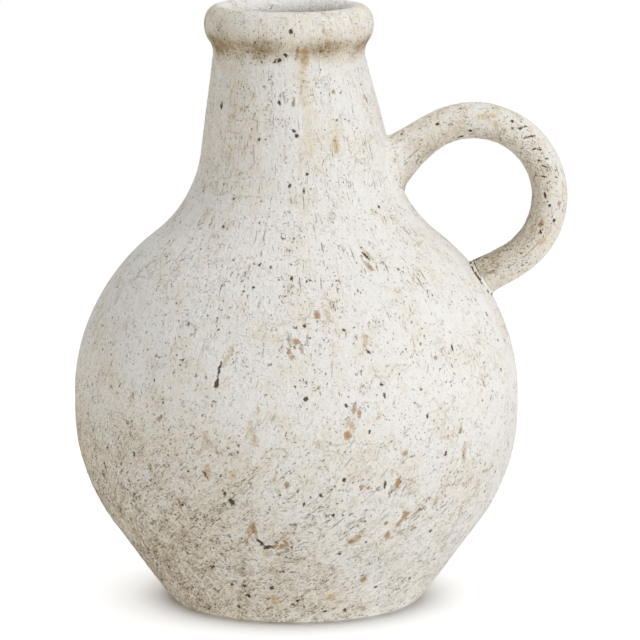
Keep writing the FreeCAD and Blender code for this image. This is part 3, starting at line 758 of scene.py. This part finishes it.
def whitewashed_earthenware():
    """Low-fired earthenware brushed with white slip and left unglazed: dry and chalky, with warm clay where
    the slip is thin, darkened in part with painted shade, dark specks and burnt-out pits, rusty chips, and
    fine strokes that the brush left. Its hollows carry painted shade and its ridges painted highlight."""
    clay = bpy.data.materials.new("whitewashed_earthenware")
    clay.use_nodes = True
    tree = clay.node_tree
    tree.nodes.clear()
    here = add(tree, "ShaderNodeTexCoord", result="Object")
    place = add(tree, "ShaderNodeVectorMath", {0: here, "Scale": 1 / MM}, operation="SCALE")
    known = {}
    for label in ("strokes", "warmth_and_shade", "grog", "pit_edge", "chip_edge", "stain_edge"):
        known[label] = add(tree, "ShaderNodeAttribute", result="Fac", attribute_name=label)
    flow = add(tree, "ShaderNodeAttribute", result="Vector", attribute_name="flow")

    # Places are shaken by about half a millimetre, so that no pit or chip has a clean edge
    shake = add(tree, "ShaderNodeTexNoise", {"Vector": place, "Scale": 1 / 1.6, "Detail": 2}, result=1)
    shake = add(tree, "ShaderNodeVectorMath", {0: shake, 1: (0.5, 0.5, 0.5)}, operation="SUBTRACT")
    shaken = add(tree, "ShaderNodeVectorMath", {0: shake, 1: (2.2, 2.2, 2.2), 2: place},
                 operation="MULTIPLY_ADD")

    # Noise of the clay's and the slip's own, by its size in mm
    own = {}
    for label, size, detail, roughness in (
        ("cloud", 24, 4, 0.6),
        ("patch", 11, 3, 0.5),
        ("fleck", 6, 4, 0.7),
        ("knot", 2.4, 3, 0.6),
        ("speck", 1.35, 3, 0.65),
        ("edge", 1.3, 3, 0.5),
        ("grain", 0.9, 3, 0.5),
    ):
        own[label] = add(tree, "ShaderNodeTexNoise", {
            "Vector": place, "Scale": 1 / size, "Detail": detail, "Roughness": roughness})
    rough_edge = maths(tree, "MULTIPLY_ADD", own["edge"], 2.6, -1.3)

    # Noise drawn out along the strokes, by its width and length in mm. The strokes run with the neck, fan
    # over the shoulder and lean on the belly.
    drawn = {}
    for label, width, length, detail, roughness in (
        ("band", 6, 60, 2, 0.5),
        ("bristle", 1.1, 7.7, 2, 0.5),
        ("scratch", 1.2, 13, 3, 0.6),
        ("dash", 1.0, 3.0, 1, 0.5),
        ("drag", 1.3, 2.4, 3, 0.6),
        ("vein", 2.3, 4.8, 3, 0.6),
    ):
        rates = (1 / (width * MM), 1 / (width * MM), 1 / (length * MM))
        spot = add(tree, "ShaderNodeVectorMath", {0: flow, 1: rates}, operation="MULTIPLY")
        drawn[label] = add(tree, "ShaderNodeTexNoise", {
            "Vector": spot, "Scale": 1, "Detail": detail, "Roughness": roughness})

    # Strokes of single bristles, in bands, and long scratches that grit in the slip drew along with them
    band = maths(tree, "SUBTRACT", drawn["band"], 0.5)
    band = maths(tree, "MULTIPLY", band, known["strokes"])
    groove = ramp(tree, drawn["bristle"], 0.5, 0.72)
    groove = maths(tree, "MULTIPLY", groove, known["strokes"])
    scratch = ramp(tree, drawn["scratch"], 0.655, 0.7)
    scratch = maths(tree, "MULTIPLY", scratch, known["strokes"])

    # Slip laid on in clouds about 25 mm across, warm where it is thin, and darker with the painted shade that
    # comes in with the warmth
    thin = maths(tree, "MULTIPLY_ADD", own["cloud"], 0.65, known["warmth_and_shade"])
    thin = maths(tree, "MULTIPLY_ADD", own["fleck"], 0.5, thin)
    thin = maths(tree, "MULTIPLY_ADD", band, 0.35, thin)
    cream = ramp(tree, thin, 0.6, 1.05, smooth=True)
    tan = ramp(tree, thin, 0.92, 1.6, smooth=True)
    body = blend(tree, cream, colour("#ebe9e5"), colour("#e4dac8"))
    body = blend(tree, tan, body, colour("#b59b73"))

    # How densely the specks lie: by the grog, in patches 11 mm across and along the bands
    dense = maths(tree, "MULTIPLY_ADD", own["patch"], 0.12, 0.029)
    dense = maths(tree, "MULTIPLY_ADD", known["grog"], 0.095, dense)
    dense = maths(tree, "MULTIPLY_ADD", band, 0.08, dense)

    # Grog and iron specks up to a millimetre across, dashes that the brush drew out of them, and pits that
    # coarser grit dragged open
    grit = {}
    for label, noise, start, full in (
        ("speck", own["speck"], 0.743, 0.768),
        ("dash", drawn["dash"], 0.8, 0.84),
        ("drag", drawn["drag"], 0.766, 0.79),
    ):
        share = maths(tree, "ADD", noise, dense)
        grit[label] = ramp(tree, share, start, full, smooth=True)
    dash = maths(tree, "MULTIPLY", grit["dash"], known["strokes"])

    # Broken wandering cracks half a millimetre wide, where the plaster-like slip shrank round the grog
    vein = maths(tree, "SUBTRACT", drawn["vein"], 0.5)
    vein = maths(tree, "ABSOLUTE", vein)
    vein = ramp(tree, vein, 0.03, 0.01)
    shrunk = maths(tree, "MULTIPLY_ADD", own["fleck"], 0.3, dense)
    shrunk = ramp(tree, shrunk, 0.27, 0.35)
    vein = maths(tree, "MULTIPLY", vein, shrunk)

    # Burnt-out pepper and larger holes, one to a cell, with fewer empty cells where the specks lie dense
    empty = ramp(tree, dense, 0.1, 0.16, 0.86, 0.2)
    pepper = pit_pattern(tree, shaken, 2.5, 0.2, 0.72, empty)
    holes = pit_pattern(tree, shaken, 6.0, 0.45, 1.0, empty)

    # Hairlines of the dried slip, along the borders of cells about 12 mm across, most of them healed
    border = add(tree, "ShaderNodeTexVoronoi", {"Vector": shaken, "Scale": 1 / 12},
                 feature="DISTANCE_TO_EDGE")
    hairline = ramp(tree, border, 0.02, 0.0)
    healed = ramp(tree, own["cloud"], 0.5, 0.6)
    hairline = maths(tree, "MULTIPLY", hairline, healed)

    # Chalky patches where the slip dried thin over coarser grog, 2 to 3 mm across
    wash = maths(tree, "ADD", own["knot"], dense)
    wash = ramp(tree, wash, 0.62, 0.8)

    # The coarse plaster-like skin, drawn by the bristles, with painted shade in its hollows and painted
    # highlight on its ridges where the grog lies thick
    coarse = maths(tree, "MULTIPLY_ADD", own["grain"], 0.6, own["knot"])
    coarse = maths(tree, "MULTIPLY_ADD", drawn["bristle"], 0.5, coarse)
    hollow = ramp(tree, coarse, 1.0, 0.84)
    hollow = maths(tree, "MULTIPLY", hollow, known["grog"])
    ridge_highlight = ramp(tree, coarse, 1.07, 1.22)
    ridge_highlight = maths(tree, "MULTIPLY", ridge_highlight, known["grog"])

    # Listed marks, with ragged edges
    edges = {}
    for mark, label, start, fade, ragged in (
        ("pit", "pit_edge", 0.15, 0.4, 0.6),
        ("chip_rim", "chip_edge", 0.4, 0.5, 0.9),
        ("chip", "chip_edge", 0.0, 0.7, 1.0),
        ("stain", "stain_edge", 1.1, 2.2, 1.9),
    ):
        edge = maths(tree, "MULTIPLY_ADD", rough_edge, ragged, known[label])
        edges[mark] = ramp(tree, edge, start, start - fade, smooth=True)

    # What lies over the body's colour, each by how much of it covers
    for share, strength, code in (
        (wash, 0.18, "#cabfac"),
        (groove, 0.25, "#c6b89f"),
        (scratch, 0.75, "#8f7a58"),
        (grit["speck"], 0.7, "#806a45"),
        (dash, 0.75, "#7d6848"),
        (grit["drag"], 0.75, "#705a34"),
        # Painted shade in the skin's hollows, and painted highlight on its ridges
        (hollow, 0.7, "#a5906c"),
        (ridge_highlight, 1.0, "#f6f2e9"),
        (vein, 0.65, "#765f3f"),
        (hairline, 0.38, "#94866f"),
        (edges["stain"], 0.55, "#bc9a58"),
        (edges["chip_rim"], 0.5, "#9a6d36"),
        (edges["chip"], 0.75, "#b78f60"),
        (pepper, 0.8, "#6b5431"),
        (holes, 0.9, "#574122"),
        (edges["pit"], 0.92, "#503819"),
    ):
        part = maths(tree, "MULTIPLY", share, strength)
        body = blend(tree, part, body, colour(code))

    # Heights in millimetres
    swollen = maths(tree, "MULTIPLY_ADD", known["grog"], 4.5, 0.4)
    coarse = maths(tree, "MULTIPLY", coarse, swollen)
    height = 0.0
    for share, depth in (
        (coarse, 1.0),
        (vein, -0.35),
        (groove, -0.25),
        (scratch, -0.4),
        (grit["speck"], -0.2),
        (dash, -0.4),
        (grit["drag"], -0.7),
        (pepper, -0.4),
        (holes, -0.5),
        (hairline, -0.15),
        (edges["pit"], -0.5),
        (edges["chip_rim"], -0.25),
    ):
        height = maths(tree, "MULTIPLY_ADD", share, depth, height)
    normal = add(tree, "ShaderNodeBump", {"Height": height, "Distance": MM, "Strength": 1.0})
    dryness = ramp(tree, own["fleck"], 0, 1, 0.8, 0.95)
    surface = add(tree, "ShaderNodeBsdfPrincipled", {
        "Base Color": body, "Roughness": dryness, "Normal": normal, "IOR": 1.5, "Metallic": 0.0,
        "Specular IOR Level": 0.12})
    output = tree.nodes.new("ShaderNodeOutputMaterial")
    tree.links.new(surface, output.inputs["Surface"])
    return clay


def make_camera():
    """Camera at the photograph's height and distance. The jug's middle stands a few of the frame's 640 pixels
    off the frame's."""
    pitch = math.radians(9.88)
    distance = 2.332
    frame_width = 320.6 * MM
    data = bpy.data.cameras.new("camera")
    data.lens = data.sensor_width * distance / frame_width
    data.shift_x = 23.8 / 640
    data.shift_y = -17.95 / 640
    data.clip_end = 20
    camera = bpy.data.objects.new("camera", data)
    back = Vector((0, -math.cos(pitch), math.sin(pitch)))
    camera.location = JUG_MIDDLE + back * distance
    camera.rotation_euler = (-back).to_track_quat("-Z", "Y").to_euler()
    bpy.context.scene.collection.objects.link(camera)
    bpy.context.scene.camera = camera


def make_lamp(name, place, width, power, lit):
    """A square soft box that faces the middle of the jug, and lights one collection alone."""
    data = bpy.data.lights.new(name, "AREA")
    data.size = width
    data.energy = power
    lamp = bpy.data.objects.new(name, data)
    lamp.location = place
    lamp.rotation_euler = (JUG_MIDDLE - lamp.location).to_track_quat("-Z", "Y").to_euler()
    bpy.context.scene.collection.objects.link(lamp)
    lamp.light_linking.receiver_collection = lit


def seen_directly(tree):
    """1 for rays that show the background itself: from the camera, or by way of gloss or glass."""
    rays = add(tree, "ShaderNodeLightPath").node.outputs
    seen = maths(tree, "MAXIMUM", rays["Is Camera Ray"], rays["Is Glossy Ray"])
    return maths(tree, "MAXIMUM", seen, rays["Is Transmission Ray"])


def make_studio(jug):
    """White sweep and soft daylight all round, with soft boxes that light the jug alone, so that its shadow
    is the soft one of the daylight, deepened round the foot by a painted shadow where the floor's glow fades.
    The floor also glows to light the jug from below."""
    world = bpy.data.worlds.new("studio")
    bpy.context.scene.world = world
    world.use_nodes = True
    tree = world.node_tree
    tree.nodes.clear()
    daylight = 0.455
    level = ramp(tree, seen_directly(tree), 0, 1, daylight, 1.0)
    sky = add(tree, "ShaderNodeBackground", {"Color": (1, 1, 1, 1), "Strength": level})
    tree.links.new(sky, tree.nodes.new("ShaderNodeOutputWorld").inputs["Surface"])

    mesh = bpy.data.meshes.new("floor")
    half = 1.2
    corners = [(-half, -half, 0), (half, -half, 0), (half, half, 0), (-half, half, 0)]
    mesh.from_pydata(corners, [], [(0, 1, 2, 3)])
    floor = bpy.data.objects.new("floor", mesh)
    bpy.context.scene.collection.objects.link(floor)
    paper = bpy.data.materials.new("matt_white_paper")
    paper.use_nodes = True
    tree = paper.node_tree
    tree.nodes.clear()
    matt = add(tree, "ShaderNodeBsdfDiffuse", {"Color": colour("#d8d8d8")})
    # It glows white to the eye, but less towards the foot: a painted shadow, whose lack of glow halves with
    # every step away from the foot's edge, over the real soft shadow of the daylight. For other rays the
    # paper glows too, and so lights the jug from below in place of the paper's bounce.
    shown, bounce_glow = 0.8, 0.88
    foot_edge, halving = 63 * MM, 10 * MM
    here = add(tree, "ShaderNodeTexCoord", result="Object")
    away = add(tree, "ShaderNodeVectorMath", {0: here}, result=1, operation="LENGTH")
    steps = maths(tree, "MULTIPLY_ADD", away, 1 / halving, -foot_edge / halving)
    fade = maths(tree, "POWER", 0.5, steps)
    clear = maths(tree, "MULTIPLY_ADD", fade, -shown, shown, use_clamp=True)
    level = ramp(tree, seen_directly(tree), 0, 1, bounce_glow, clear)
    glow = add(tree, "ShaderNodeEmission", {"Strength": level})
    both = add(tree, "ShaderNodeAddShader", {0: matt, 1: glow})
    tree.links.new(both, tree.nodes.new("ShaderNodeOutputMaterial").inputs["Surface"])
    mesh.materials.append(paper)

    make_lamp("right_soft_box", (1.8, -1.4, 1.8), 1.4, 34.5, jug)
    make_lamp("top_soft_box", (0.0, -0.2, 2.4), 1.6, 14, jug)
    bpy.context.scene.view_settings.view_transform = "Standard"


jug_pieces = bpy.data.collections.new("jug_pieces")
make_camera()
make_studio(jug_pieces)
clay = whitewashed_earthenware()
relief = relief_tree()
for piece in make_jug() + make_handle():
    press_relief(piece, relief, clay)
    jug_pieces.objects.link(piece)
    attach(piece, "root")
    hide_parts(piece.name.removesuffix("_skin"))

bpy.context.view_layer.update()
